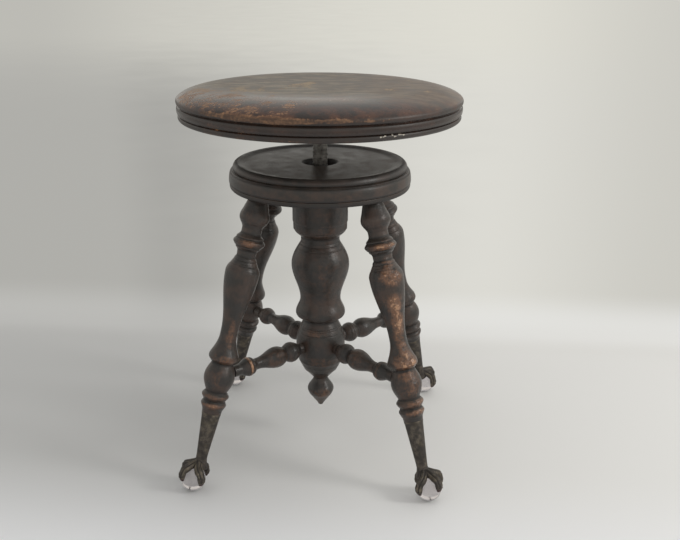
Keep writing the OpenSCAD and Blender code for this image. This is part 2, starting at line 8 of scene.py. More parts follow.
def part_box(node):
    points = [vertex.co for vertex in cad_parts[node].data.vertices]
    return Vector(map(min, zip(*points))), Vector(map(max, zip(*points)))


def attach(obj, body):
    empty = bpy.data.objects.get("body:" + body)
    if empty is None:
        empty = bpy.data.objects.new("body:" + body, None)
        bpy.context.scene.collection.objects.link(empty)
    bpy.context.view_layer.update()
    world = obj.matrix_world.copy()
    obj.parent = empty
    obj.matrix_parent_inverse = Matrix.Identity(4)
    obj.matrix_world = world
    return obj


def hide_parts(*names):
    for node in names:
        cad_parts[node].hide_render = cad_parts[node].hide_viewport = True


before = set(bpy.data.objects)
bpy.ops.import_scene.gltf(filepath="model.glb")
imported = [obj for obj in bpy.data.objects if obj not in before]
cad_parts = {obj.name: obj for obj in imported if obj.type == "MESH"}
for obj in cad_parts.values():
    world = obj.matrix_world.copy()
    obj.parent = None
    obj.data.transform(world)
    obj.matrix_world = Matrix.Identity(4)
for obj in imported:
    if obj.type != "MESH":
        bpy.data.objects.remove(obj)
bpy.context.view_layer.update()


# Glass balls. Four solid balls of clear glass with a faint lilac cast, one under each claw foot.
# They are pressed in a mould, and a small worn flat under each one meets the floor.
class Tap:
    """One output of a shader node. Arithmetic on taps adds Math nodes."""

    def __init__(self, finish, socket):
        self.finish = finish
        self.socket = socket

    def __add__(self, other):
        return self.finish.math("ADD", self, other)

    def __radd__(self, other):
        return self.finish.math("ADD", other, self)

    def __sub__(self, other):
        return self.finish.math("SUBTRACT", self, other)

    def __rsub__(self, other):
        return self.finish.math("SUBTRACT", other, self)

    def __mul__(self, other):
        return self.finish.math("MULTIPLY", self, other)

    def __rmul__(self, other):
        return self.finish.math("MULTIPLY", other, self)

    def __truediv__(self, other):
        return self.finish.math("DIVIDE", self, other)

    def __rtruediv__(self, other):
        return self.finish.math("DIVIDE", other, self)

    def between(self, low, high):
        """0 where the tap is at low, 1 where it is at high, and a soft step in between."""
        values = {"Value": self, "From Min": low, "From Max": high}
        return self.finish.add("MapRange", {"interpolation_type": "SMOOTHSTEP"}, values)


class Finish:
    """One material being mixed, or the world. add() puts in a node and hands back an output as a Tap."""

    def __init__(self, name, kind=bpy.data.materials, shader="Principled BSDF"):
        self.material = kind.new(name)
        self.material.use_nodes = True
        self.tree = self.material.node_tree
        self.shader = self.tree.nodes[shader]

    def add(self, kind, settings, values, out=0):
        node = self.tree.nodes.new("ShaderNode" + kind)
        for key, value in settings.items():
            setattr(node, key, value)
        for key, value in values.items():
            self.feed(node.inputs[key], value)
        return Tap(self, node.outputs[out])

    def feed(self, socket, value):
        if isinstance(value, Tap):
            self.tree.links.new(value.socket, socket)
        else:
            socket.default_value = value

    def math(self, operation, *values):
        return self.add("Math", {"operation": operation}, dict(enumerate(values)))

    def place(self, out="Object"):
        return self.add("TexCoord", {}, {}, out)

    def part(self, vector, axis):
        """One of the three numbers of a vector, X, Y or Z."""
        return self.add("SeparateXYZ", {}, {0: vector}, axis)

    def mark(self, name, out="Fac"):
        """A value that the mesh itself carries."""
        return self.add("Attribute", {"attribute_name": name}, {}, out)

    def stretched(self, place, sizes):
        return self.add("VectorMath", {"operation": "MULTIPLY"}, {0: place, 1: sizes})

    def clouds(self, place, scale, detail=3.0, rough=0.5):
        values = {"Vector": place, "Scale": scale, "Detail": detail, "Roughness": rough}
        return self.add("TexNoise", {}, values)

    def cracks(self, place, scale):
        """Distance from the edges of a net of cells, as in crazed varnish."""
        return self.add("TexVoronoi", {"feature": "DISTANCE_TO_EDGE"}, {"Vector": place, "Scale": scale})

    def over(self, share, under, top):
        """The colour top laid over the colour under, as strongly as share says."""
        return self.add("Mix", {"data_type": "RGBA"}, {0: share, 6: under, 7: top}, 2)

    def seen(self):
        """1 for rays that show a thing: from the camera, off a glossy surface or through glass."""
        rays = self.add("LightPath", {}, {}, "Is Camera Ray")
        for ray in ("Is Glossy Ray", "Is Transmission Ray"):
            rays = self.math("MAXIMUM", rays, self.add("LightPath", {}, {}, ray))
        return rays

    def bump(self, height, depth):
        return self.add("Bump", {}, {"Height": height, "Distance": depth}, "Normal")

    def coat(self, **sockets):
        """Sets the shader's own sockets, named with underscores for spaces."""
        for key, value in sockets.items():
            self.feed(self.shader.inputs[key.replace("_", " ")], value)


def cast_off(name, shape, soft_angle=40):
    """Turns a finished bmesh into an object of that name, smooth across its gentle edges."""
    mesh = bpy.data.meshes.new(name)
    shape.to_mesh(mesh)
    shape.free()
    mesh.shade_smooth()
    mesh.set_sharp_from_angle(angle=math.radians(soft_angle))
    piece = bpy.data.objects.new(name, mesh)
    bpy.context.scene.collection.objects.link(piece)
    return piece


def dress(piece, finish):
    """Gives a piece its one material."""
    piece.data.materials.clear()
    piece.data.materials.append(finish.material)
    return piece


def cut(shape, parts, place, facing):
    """Cuts away what lies beyond a plane, on the side that it faces, and caps the hole."""
    whole = list(parts) + list({part for point in parts for part in (*point.link_edges, *point.link_faces)})
    edge = bmesh.ops.bisect_plane(shape, geom=whole, plane_co=place, plane_no=facing, clear_outer=True)
    rim = [part for part in edge["geom_cut"] if isinstance(part, bmesh.types.BMEdge)]
    bmesh.ops.holes_fill(shape, edges=rim)


ball_low, ball_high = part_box("glass_ball_1")
ball_r = (ball_high.x - ball_low.x) / 2
ball_mid = ball_high.z - ball_r
# How far each ball stands from the stool's middle, on a diagonal
foot_r = (ball_low.x + ball_high.x) / 2 * math.sqrt(2)
LEG_TURNS = [math.radians(turn) for turn in (45, 135, 225, 315)]

glass = Finish("lilac_glass")
glass_haze = glass.clouds(glass.place(), 420)
glass.coat(Base_Color=(0.70, 0.665, 0.677, 1), IOR=1.5, Transmission_Weight=1)
glass.coat(Roughness=0.015 + 0.06 * glass_haze.between(0.5, 0.75))

for number, turn in enumerate(LEG_TURNS, 1):
    shape = bmesh.new()
    bmesh.ops.create_uvsphere(shape, u_segments=96, v_segments=48, radius=ball_r)
    place = Matrix.Translation((foot_r * math.cos(turn), foot_r * math.sin(turn), ball_mid))
    bmesh.ops.transform(shape, matrix=place, verts=shape.verts)
    cut(shape, shape.verts[:], (0, 0, 0), (0, 0, -1))
    bmesh.ops.recalc_face_normals(shape, faces=shape.faces)
    ball = dress(cast_off(f"ball_{number}", shape), glass)
    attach(ball, "base")
    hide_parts(f"glass_ball_{number}")


# Claw feet. Each is one casting: a tapered ferrule that sleeves the leg's tip, an ankle, a skirt that
# caps the ball, and four toes with two knuckles each, which end in blunt nails near its equator.
leg_lean = math.radians(17.2)
# The ball's middle lies this far outside the leg's axis
ball_out = 0.0056
ball_play = 0.0001
# Along the leg: from the ball to the ankle, and from there to the ferrule's mouth
ankle_rise = 0.0254
shank_l = 0.0615
# The foot is cast round its ball's middle, with the leg leaning away along X
up_leg = Vector((-math.sin(leg_lean), 0, math.cos(leg_lean)))
ankle = Vector((-ball_out, 0, 0)) + ankle_rise * up_leg
toe_root = ankle + Vector((0.0020, 0, -0.0030))
toe_half_w = 0.0052
toe_half_t = 0.0040
# How far out the toe's middle line runs, as shares of the ball's radius
knuckle_far_share = 1.36
crown_far_share = 0.96 * knuckle_far_share
tip_far_share = 1.07
# The share of the toe's length at which it bends down
toe_bend_share = 0.36
# Two furrows run along a toe's back, this far to each side, as shares of its half width
furrow_place = 0.46
furrow_half_w = 0.17
# Each row: share of the toe's length, then shares of its half width and thickness, and the furrows' depth
toe_rows = [
    (0.00, 0.96, 1.10, 0.10), (0.16, 1.00, 1.20, 0.30), (0.32, 1.08, 1.30, 0.26), (0.44, 1.00, 0.98, 0.32),
    (0.52, 0.98, 0.94, 0.32), (0.62, 1.02, 1.10, 0.26), (0.73, 0.96, 0.88, 0.26), (0.77, 0.98, 0.92, 0.04),
    (0.81, 0.82, 0.66, 0.00), (0.92, 0.72, 0.52, 0.00), (0.97, 0.58, 0.40, 0.00), (1.00, 0.36, 0.20, 0.00)]


def eased(rows, share):
    """The values of a table at one share of the length, eased between the rows beside it."""
    for low, high in zip(rows, rows[1:]):
        if share <= high[0]:
            step = (share - low[0]) / (high[0] - low[0])
            step = step * step * (3 - 2 * step)
            return [a + (b - a) * step for a, b in zip(low[1:], high[1:])]
    return rows[-1][1:]


def knuckle_lat(turn):
    """Latitude of a toe's first knuckle on the ball: it is highest on the outer toe."""
    return math.radians(40 + 13 * math.cos(turn))


def tip_lat(turn):
    """Latitude of a toe's tip on the ball: the outer toe is shorter than the others."""
    return math.radians(-10 + 20 * max(0, math.cos(turn)))


def on_ball(turn, lat, far):
    """A point over the ball, far times its radius from its middle."""
    flat = far * ball_r * math.cos(lat)
    return Vector((flat * math.cos(turn), flat * math.sin(turn), far * ball_r * math.sin(lat)))


def toe_middle(turn, share):
    """The toe's middle line: an arch from the ankle to the first knuckle, then down the ball."""
    lat = knuckle_lat(turn)
    knuckle = on_ball(turn, lat, knuckle_far_share)
    if share < toe_bend_share:
        step = share / toe_bend_share
        crown = on_ball(turn, (lat + math.pi / 2) / 2, crown_far_share)
        return (1 - step) ** 2 * toe_root + 2 * step * (1 - step) * crown + step ** 2 * knuckle
    step = (share - toe_bend_share) / (1 - toe_bend_share)
    far = knuckle_far_share + (tip_far_share - knuckle_far_share) * (step + step * step) / 2
    return on_ball(turn, lat + (tip_lat(turn) - lat) * step, far)


def add_toe(shape, turn, rings=72, sides=56, look=0.01):
    """Rolls a sheet into a tube whose rings follow the toe's middle line."""
    sheet = bmesh.ops.create_grid(shape, x_segments=sides, y_segments=rings, size=0.5)["verts"]
    side = Vector((-math.sin(turn), math.cos(turn), 0))
    for point in sheet:
        share = point.co.y + 0.5
        angle = (point.co.x + 0.5) * math.tau
        before, after = toe_middle(turn, max(0, share - look)), toe_middle(turn, min(1, share + look))
        ahead = (after - before).normalized()
        across = (side - side.dot(ahead) * ahead).normalized()
        wide, thick, furrow = eased(toe_rows, share)
        level, high = math.cos(angle), math.sin(angle)
        if high > 0:
            high *= 1 - furrow * math.exp(-((abs(level) - furrow_place) / furrow_half_w) ** 2)
        point.co = (toe_middle(turn, share) + toe_half_w * wide * level * across
                    + toe_half_t * thick * high * ahead.cross(across))
    bmesh.ops.remove_doubles(shape, verts=sheet, dist=1e-6)


# The ferrule's outline: height above the ankle and radius, up the outside and down its socket
ferrule_rows = [
    (-0.0085, 0), (-0.0134, 0.0094), (-0.0105, 0.0098), (-0.0050, 0.0081), (0, 0.0070), (0.0060, 0.0072),
    (shank_l - 0.0030, 0.0117), (shank_l - 0.0024, 0.0121), (shank_l - 0.0004, 0.0122),
    (shank_l, 0.0119), (shank_l, 0.0102), (shank_l - 0.0420, 0.0067), (shank_l - 0.0420, 0)]


def doubled(shape, step):
    """Copies the whole shape, and moves the copy by the matrix step."""
    copy = bmesh.ops.duplicate(shape, geom=shape.verts[:] + shape.edges[:] + shape.faces[:])["geom"]
    points = [part for part in copy if isinstance(part, bmesh.types.BMVert)]
    bmesh.ops.transform(shape, matrix=step, verts=points)


def spun(outline, sides):
    """Spins an outline of (height, radius) points an eighth of a turn, and doubles it three times."""
    shape = bmesh.new()
    chain = [shape.verts.new((radius, 0, height)) for height, radius in outline]
    links = [shape.edges.new(pair) for pair in zip(chain, chain[1:])]
    bmesh.ops.spin(shape, geom=chain + links, cent=(0, 0, 0), axis=(0, 0, 1), angle=math.tau / 8,
                   steps=sides // 8)
    for share in (8, 4, 2):
        doubled(shape, Matrix.Rotation(math.tau / share, 4, "Z"))
    bmesh.ops.remove_doubles(shape, verts=shape.verts, dist=2e-6)
    bmesh.ops.recalc_face_normals(shape, faces=shape.faces)
    return shape


foot = spun(ferrule_rows, 96)
lean_up = Matrix.Translation(ankle) @ Matrix.Rotation(-leg_lean, 4, "Y")
bmesh.ops.transform(foot, matrix=lean_up, verts=foot.verts)
for toe in range(4):
    add_toe(foot, toe * math.pi / 2)
bmesh.ops.holes_fill(foot, edges=[edge for edge in foot.edges if edge.is_boundary])
bmesh.ops.recalc_face_normals(foot, faces=foot.faces)

# The parts run into one skin, as in the mould, and the ball then leaves its bed in it
skin_step = 0.0004
skin_passes = 2
mould = cast_off("mould", foot)
one_skin = mould.modifiers.new("one_skin", "REMESH")
one_skin.mode = "VOXEL"
one_skin.voxel_size = skin_step
casting = bmesh.new()
casting.from_mesh(mould.evaluated_get(bpy.context.evaluated_depsgraph_get()).to_mesh())
bpy.data.objects.remove(mould)


def smoothed(shape, passes):
    """Draws every point halfway to its neighbours, passes times over."""
    for _ in range(passes):
        bmesh.ops.smooth_vert(shape, verts=shape.verts, factor=0.5, use_axis_x=True, use_axis_y=True,
                              use_axis_z=True)


smoothed(casting, skin_passes)
bed_r = ball_r + ball_play
for point in casting.verts:
    if point.co.length < bed_r:
        point.co = point.co.normalized() * bed_r

# Crests are rubbed bright and hollows keep their dirt, so each point is marked by how far it stands
# out. A second mark tells the nails from the toes.
rub = casting.verts.layers.float.new("rub")
nail = casting.verts.layers.float.new("nail")
crest = 0.00025
crest_passes = 12
# A nail is the last 15 degrees of its toe, and its mark comes up over a third of that
nail_reach = math.radians(15)
nail_edge = 3
cast = [(point.co.copy(), point.normal.copy()) for point in casting.verts]
smoothed(casting, crest_passes)
for point, (co, normal) in zip(casting.verts, cast):
    point[rub] = max(-1, min(1, (co - point.co).dot(normal) / crest))
    toe_turn = round(math.atan2(co.y, co.x) / (math.pi / 2)) * math.pi / 2
    above = math.asin(co.z / co.length) - tip_lat(toe_turn)
    point[nail] = max(0, min(1, nail_edge * (1 - above / nail_reach)))
    point.co = co

BRONZE_DARK = (0.040, 0.035, 0.031, 1)
BRONZE_BROWN = (0.072, 0.061, 0.052, 1)
BRONZE_RUBBED = (0.190, 0.160, 0.118, 1)
BRONZE_DUST = (0.130, 0.105, 0.060, 1)
BRONZE_GRIME = (0.014, 0.012, 0.010, 1)
NAIL_RED = (0.062, 0.028, 0.030, 1)

bronze = Finish("claw_patina")
bronze_place = bronze.place()
bronze_rub = bronze.mark("rub")
bronze_mottle = bronze.clouds(bronze_place, 130, 5, 0.6)
bronze_grit = bronze.clouds(bronze_place, 900, 3, 0.6)
bronze_bright = (0.6 * bronze_rub + 2.2 * bronze_mottle + 0.9 * bronze_grit).between(1.52, 2.35)
bronze_dirt = (0.38 - 0.9 * bronze_rub + 0.8 * (bronze_mottle - 0.1)).between(0.70, 1.15)
bronze_dust = bronze.clouds(bronze_place, 75, 4, 0.6).between(0.52, 0.70)
bronze_tone = bronze.over(bronze_mottle.between(0.35, 0.65), BRONZE_DARK, BRONZE_BROWN)
bronze_tone = bronze.over(0.85 * bronze_bright, bronze_tone, BRONZE_RUBBED)
bronze_tone = bronze.over(0.32 * bronze_dust, bronze_tone, BRONZE_DUST)
bronze_tone = bronze.over(bronze_dirt, bronze_tone, BRONZE_GRIME)
bronze_tone = bronze.over(0.75 * bronze.mark("nail"), bronze_tone, NAIL_RED)
bronze.coat(Base_Color=bronze_tone, Metallic=0.55 - 0.35 * bronze_dirt)
bronze.coat(Roughness=0.44 + 0.22 * bronze_mottle - 0.12 * bronze_bright + 0.2 * bronze_dirt)
bronze.coat(Normal=bronze.bump(bronze_mottle + 0.35 * bronze_grit, 0.0006))

for number, turn in enumerate(LEG_TURNS, 1):
    shape = casting.copy()
    place = Matrix.Rotation(turn, 4, "Z") @ Matrix.Translation((foot_r, 0, ball_mid))
    bmesh.ops.transform(shape, matrix=place, verts=shape.verts)
    claw = dress(cast_off(f"claw_{number}", shape, 60), bronze)
    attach(claw, "base")
    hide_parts(f"claw_foot_{number}")


# Legs. Four legs turned from a hard, even wood, stained nearly black and varnished. Each has a glued
# tenon in the round, and its tip is a taper inside the ferrule. Shoes have rubbed the outer faces bare.
frame_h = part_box("round_block")[0].z
leg_top_r = 0.0975
leg_r = 0.0213
bulb_r = 0.0194
# The stretcher enters the leg's bulb at this share of the leg's length
bulb_share = 0.829
leg_axis_l = (frame_h - ball_mid) / math.cos(leg_lean)
leg_l = leg_axis_l - shank_l - ankle_rise
# The ways in which an outline runs from one row to the next: shares of the way along and out
ways_on = {
    "straight": lambda step: (step, step),
    "flow": lambda step: (step, (1 - math.cos(math.pi * step)) / 2),
    "quick": lambda step: (1 - math.cos(math.pi / 2 * step), math.sin(math.pi / 2 * step)),
    "level": lambda step: (math.sin(math.pi / 2 * step), 1 - math.cos(math.pi / 2 * step)),
    "settle": lambda step: (step, math.sin(math.pi / 2 * step)),
    "swell": lambda step: (step, 1 - math.cos(math.pi / 2 * step))}


def outline(rows, length, radius, step=0.0012):
    """Points (along, radius) of turned work. A row gives two shares and the way in which the line runs on."""
    line = [(rows[0][0] * length, rows[0][1] * radius)]
    for row in rows[1:]:
        (along, out), (next_along, next_out) = line[-1], (row[0] * length, row[1] * radius)
        count = max(1, round(math.hypot(next_along - along, next_out - out) / step))
        for index in range(1, count + 1):
            ahead, aside = ways_on[row[2]](index / count)
            line.append((along + (next_along - along) * ahead, out + (next_out - out) * aside))
    return line


def scored(line, places, depth=0.0005, half_width=0.0006):
    """The outline with a fine line cut at each of the places."""
    for place in places:
        before = [point for point in line if point[0] < place - half_width]
        after = [point for point in line if point[0] > place + half_width]
        low, high = before[-1], after[0]

        def level(along):
            return low[1] + (high[1] - low[1]) * (along - low[0]) / (high[0] - low[0])

        line = before + [(place - half_width, level(place - half_width)), (place, level(place) - depth),
                         (place + half_width, level(place + half_width))] + after
    return line


def softened(line, ease=0.00035, least_bend=0.12, side_share=0.45):
    """The outline with its corners eased, as sanding and years of handling leave them."""
    soft = [line[0]]
    for last, corner, ahead in zip(line, line[1:], line[2:]):
        here, back, on = Vector(corner), Vector(last) - Vector(corner), Vector(ahead) - Vector(corner)
        if min(back.length, on.length) < 1e-7:
            continue
        if abs(back.normalized().cross(on.normalized())) < least_bend and back.dot(on) < 0:
            soft.append(corner)
            continue
        start = here + back.normalized() * min(ease, back.length * side_share)
        end = here + on.normalized() * min(ease, on.length * side_share)
        soft += [tuple(start), tuple((start + 2 * here + end) / 4), tuple(end)]
    return soft + [line[-1]]


def relief(line, reach=0.0022, full=0.0006):
    """How far each point of an outline stands out from the outline round it, from -1 to 1."""
    far = [0.0]
    for last, point in zip(line, line[1:]):
        far.append(far[-1] + math.hypot(point[0] - last[0], point[1] - last[1]))

    def at(place):
        place = max(far[0], min(far[-1], place))
        index = max(i for i in range(len(far) - 1) if far[i] <= place)
        step = (place - far[index]) / max(1e-9, far[index + 1] - far[index])
        return Vector(line[index]).lerp(Vector(line[index + 1]), step)

    marks = []
    for here, point in zip(far, line):
        near, on = at(here - reach), at(here + reach)
        along = (on - near).normalized()
        out = Vector((-along.y, along.x))
        marks.append(max(-1, min(1, (Vector(point) - (near + on) / 2).dot(out) / full)))
    return marks


def turned(line, place, sides=112, patches=(), shift=0.0):
    """Turns a piece: spins its outline down from z = 0, marks it, and sets it in place.

    Each patch of worn varnish is (place along, direction, half length, half width, strength), with its
    direction and half width in degrees. The shift moves the wood's figure, so that no two look alike."""
    shape = spun([(-along, radius) for along, radius in line], sides)
    stock = shape.verts.layers.float_vector.new("stock")
    rub = shape.verts.layers.float.new("rub")
    bare = shape.verts.layers.float.new("bare")
    standing = {(round(along, 5), round(radius, 5)): mark
                for (along, radius), mark in zip(line, relief(line))}
    for point in shape.verts:
        x, y, z = point.co
        point[stock] = (x + shift, y, z)
        point[rub] = standing.get((round(-z, 5), round(math.hypot(x, y), 5)), 0)
        turn = math.atan2(y, x)
        for along, direction, half_l, half_turn, strength in patches:
            aside = math.remainder(turn - math.radians(direction), math.tau) / math.radians(half_turn)
            off = ((-z - along) / half_l) ** 2 + aside ** 2
            point[bare] += strength * math.exp(-off * off)
    bmesh.ops.transform(shape, matrix=place, verts=shape.verts)
    return shape


# The colours of old stained wood: sound varnish, what lies on it, and timber rubbed bare; the darkest also
# paints shade in the hollows
STAIN = (0.022, 0.0185, 0.0160, 1)
GLOW = (0.050, 0.031, 0.023, 1)
DUST = (0.095, 0.086, 0.074, 1)
HOLLOW_GRIME_AND_SHADE = (0.012, 0.010, 0.009, 1)
BARE_DARK = (0.078, 0.040, 0.024, 1)
BARE = (0.165, 0.082, 0.046, 1)
BARE_LIGHT = (0.440, 0.250, 0.145, 1)


def old_wood(name, along=(1, 1, 0.07), dusty=0.5, sheen=0.33, depth=0.00032):
    """Stained wood under old varnish: dark and mottled, bare where worn, dusty above, grime and painted shade
    in hollows.
    """
    wood = Finish(name)
    stock, rub, bare = wood.mark("stock", "Vector"), wood.mark("rub"), wood.mark("bare")
    grain = wood.stretched(stock, along)
    figure = wood.clouds(grain, 260, 4, 0.6)
    pores = wood.clouds(grain, 2400, 2, 0.5).between(0.56, 0.70)
    mottle = wood.clouds(stock, 55, 4, 0.6)
    specks = wood.clouds(stock, 420, 4, 0.65)
    knocks = wood.clouds(stock, 150, 1, 0.4)
    lathe = wood.clouds(wood.stretched(stock, (0.03, 0.03, 1)), 700, 2, 0.5)
    uneven = 1.6 * (mottle - 0.5) + 1.9 * (specks - 0.5) + 1.1 * (knocks - 0.5) + 1.0 * (figure - 0.5)
    worn = bare * (0.9 + 0.4 * rub) + 0.06 * rub + (0.35 + 0.65 * bare) * uneven
    thinned = worn.between(0.08, 0.46)
    bared = worn.between(0.34, 0.74)
    pale = worn.between(0.84, 1.10)
    hollow = (0.5 * (mottle - 0.5) - rub).between(0.30, 0.90)
    up = wood.part(wood.add("NewGeometry", {}, {}, "Normal"), "Z")
    dust = up.between(0.45, 0.95) * (mottle + 0.5 * (specks - 0.5)).between(0.10, 0.90)
    tone = wood.over(mottle.between(0.38, 0.66), STAIN, GLOW)
    tone = wood.over(0.80 * thinned, tone, BARE_DARK)
    tone = wood.over(0.90 * bared, tone, BARE)
    tone = wood.over(0.80 * pale, tone, BARE_LIGHT)
    tone = wood.over(0.5 * pores * bared, tone, STAIN)
    # Grime and painted shade darken the hollows
    tone = wood.over(0.75 * hollow, tone, HOLLOW_GRIME_AND_SHADE)
    tone = wood.over(dusty * dust, tone, DUST)
    wood.coat(Base_Color=tone, IOR=1.5)
    wood.coat(Roughness=sheen + 0.16 * (mottle - 0.5) - 0.08 * bared + 0.2 * hollow + 0.12 * dust)
    height = 0.5 * specks + 0.5 * figure + 0.6 * lathe - 0.6 * bared - 0.3 * pores + (1 + 9 * bare) * knocks
    wood.coat(Normal=wood.bump(height, depth))
    return wood


# Outlines of turned work. Each row: share of the length, share of the radius, and the way there
leg_rows = [
    (0, 0.520, ""), (0.055, 0.750, "straight"), (0.090, 0.868, "settle"), (0.106, 0.815, "swell"),
    (0.109, 0.778, "straight"), (0.113, 0.765, "straight"), (0.142, 0.577, "settle"),
    (0.158, 0.582, "straight"), (0.176, 0.755, "swell"), (0.180, 0.792, "straight"),
    (0.184, 0.778, "straight"), (0.187, 0.800, "straight"), (0.196, 0.900, "straight"),
    (0.202, 0.928, "settle"), (0.209, 0.900, "swell"), (0.220, 0.790, "straight"),
    (0.222, 0.735, "straight"), (0.229, 0.715, "straight"), (0.244, 0.570, "settle"),
    (0.266, 0.552, "straight"), (0.275, 0.640, "straight"), (0.285, 0.668, "straight"),
    (0.287, 0.700, "straight"), (0.297, 0.760, "straight"), (0.340, 1, "settle"),
    (0.615, 0.505, "flow"), (0.632, 0.507, "straight"), (0.720, 0.853, "swell"),
    (0.735, 0.886, "settle"), (0.744, 0.850, "swell"), (0.762, 0.640, "straight")]
bulb_rows = [
    (0.766, 0.702, ""), (bulb_share, 1, "settle"), (0.888, 0.740, "swell"), (0.896, 0.690, "straight"),
    (0.908, 0.845, "straight"), (0.915, 0.890, "settle"), (0.922, 0.855, "swell"),
    (0.940, 0.693, "straight"), (0.950, 0.798, "straight"), (0.956, 0.830, "settle"),
    (0.963, 0.800, "swell"), (0.985, 0.655, "straight")]
# Shares of the length at which a fine line is cut
leg_lines = [0.306]
leg_tip = [(1, 0.0122), (1, 0.0101)]
tip_l = 0.0419
tip_end_r = 0.0066
leg_tenon_r = 0.0100
leg_tenon_l = 0.0210
# Left on above the leg's top, and then cut level with the round's underside
leg_over = 0.0100
leg_patches = {
    1: [(0.160, 0, 0.060, 40, 0.25)],
    2: [(0.140, 10, 0.060, 40, 0.25)],
    3: [(0.0560, 50, 0.006, 40, 0.50), (0.176, 62, 0.026, 24, 0.42), (0.204, 50, 0.006, 60, 0.40),
        (0.229, 48, 0.012, 24, 0.28), (0.266, 45, 0.004, 70, 0.50), (0.254, 45, 0.004, 70, 0.36)],
    4: [(0.0560, -24, 0.006, 50, 0.66), (0.078, -27, 0.006, 36, 0.55), (0.094, -25, 0.012, 42, 0.85),
        (0.128, -30, 0.012, 44, 0.75), (0.162, -24, 0.030, 44, 0.90), (0.2010, -20, 0.012, 60, 0.85),
        (0.218, -20, 0.006, 60, 0.62), (0.2345, -16, 0.012, 52, 0.45), (0.254, -10, 0.006, 60, 0.56),
        (0.266, -10, 0.005, 60, 0.62)]}

leg_wood = old_wood("leg_wood")
leg_line = outline(leg_rows, leg_l, leg_r) + outline(bulb_rows, leg_l, bulb_r)
leg_line = scored(leg_line, [share * leg_l for share in leg_lines])
leg_line = [(-leg_over, leg_line[0][1])] + leg_line + [(share * leg_l, radius) for share, radius in leg_tip]
leg_line = [(-leg_over, 0)] + softened(leg_line) + [(leg_l + tip_l, tip_end_r), (leg_l + tip_l, 0)]

for number, turn in enumerate(LEG_TURNS, 1):
    place = Matrix.Rotation(turn, 4, "Z") @ Matrix.Translation((leg_top_r, 0, frame_h))
    place = place @ Matrix.Rotation(-leg_lean, 4, "Y")
    shape = turned(leg_line, place, patches=leg_patches[number], shift=number)
    cut(shape, shape.verts[:], (0, 0, frame_h), (0, 0, 1))
    # The tenon also reaches down into the leg, by half its length
    tenon_mid = place @ Matrix.Translation((0, 0, leg_tenon_l / 4))
    bmesh.ops.create_cone(shape, cap_ends=True, segments=64, radius1=leg_tenon_r, radius2=leg_tenon_r,
                          depth=leg_tenon_l * 3 / 2, matrix=tenon_mid)
    leg = dress(cast_off(f"turned_leg_{number}", shape, 50), leg_wood)
    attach(leg, "base")
    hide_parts(f"leg_{number}")


# Centre post. One turning of the same wood: a cylinder under the round, a neck, a vase, a flange and
# the urn that the stretchers enter. It is bored from above for the screw.
post_r = 0.0383
urn_r = 0.0331
# The stretchers enter the urn at this share of its length above its end
rail_share = 0.600
post_end_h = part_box("centre_post")[0].z
bulb_h = (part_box("stretcher_1")[0].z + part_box("stretcher_1")[1].z) / 2
urn_l = (bulb_h - post_end_h) / rail_share
post_l = frame_h - post_end_h - urn_l
post_rows = [
    (0, 0.945, ""), (0.248, 0.945, "straight"), (0.256, 0.926, "straight"), (0.305, 0.919, "straight"),
    (0.311, 0.885, "straight"), (0.370, 0.664, "flow"), (0.396, 0.664, "straight"),
    (0.410, 0.695, "straight"), (0.570, 1, "settle"), (0.830, 0.706, "flow"), (0.940, 0.868, "flow"),
    (0.962, 0.830, "swell"), (0.990, 0.612, "straight"), (1, 0.612, "straight")]
urn_rows = [
    (0, 0.702, ""), (0.020, 0.720, "straight"), (0.360, 1, "settle"), (0.470, 1, "straight"),
    (0.674, 0.903, "flow"), (0.842, 0.680, "straight"), (0.853, 0.640, "straight"), (1, 0.290, "straight")]
post_lines = [0.415, 0.445]
urn_lines = [0.085, 0.115, 0.185, 0.745]
post_tenon_r = 0.0290
post_tenon_l = 0.0135
bore_r = 0.0151
bore_end = 0.1710
post_patches = [
    (0.052, -75, 0.030, 26, 0.16), (0.118, -78, 0.030, 30, 0.18), (post_l + 0.012, -100, 0.005, 30, 0.34),
    (post_l + 0.052, -82, 0.008, 50, 0.36)]

post_line = scored(outline(post_rows, post_l, post_r), [share * post_l for share in post_lines])
urn_line = scored(outline(urn_rows, urn_l, urn_r), [share * urn_l for share in urn_lines])
post_line += [(post_l + along, radius) for along, radius in urn_line]
post_line = softened([(0, post_tenon_r)] + post_line)
post_line = ([(bore_end, 0), (bore_end, bore_r), (-post_tenon_l, bore_r), (-post_tenon_l, post_tenon_r)]
             + post_line + [(post_l + urn_l, 0)])
shape = turned(post_line, Matrix.Translation((0, 0, frame_h)), 160, post_patches)
post = dress(cast_off("turned_post", shape, 50), leg_wood)
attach(post, "base")
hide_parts("centre_post")


# Drop. A small turned finial, glued into the urn's lower end with a round peg.
drop_low, drop_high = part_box("drop_finial")
drop_r = (drop_high.x - drop_low.x) / 2
drop_l = post_end_h - drop_low.z
drop_peg_r = drop_r / 3
drop_peg_l = drop_high.z - post_end_h
drop_rows = [
    (0, 0.545, ""), (0.400, 1, "flow"), (0.560, 0.885, "swell"), (0.925, 0.220, "straight"), (1, 0, "level")]
drop_patches = [(0.018, -80, 0.009, 55, 0.34)]
drop_line = softened([(0, drop_peg_r)] + outline(drop_rows, drop_l, drop_r))
drop_line = [(-drop_peg_l, 0), (-drop_peg_l, drop_peg_r)] + drop_line
shape = turned(drop_line, Matrix.Translation((0, 0, post_end_h)), 96, drop_patches, shift=9)
drop = dress(cast_off("turned_drop", shape, 50), leg_wood)
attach(drop, "base")
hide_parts("drop_finial")


# Stretchers. Four small turnings, pegged and glued into the urn at one end and a leg's bulb at the other.
stretcher_r = 0.0139
peg_r = 0.0060
post_peg_l = 0.0180
leg_peg_l = 0.0140
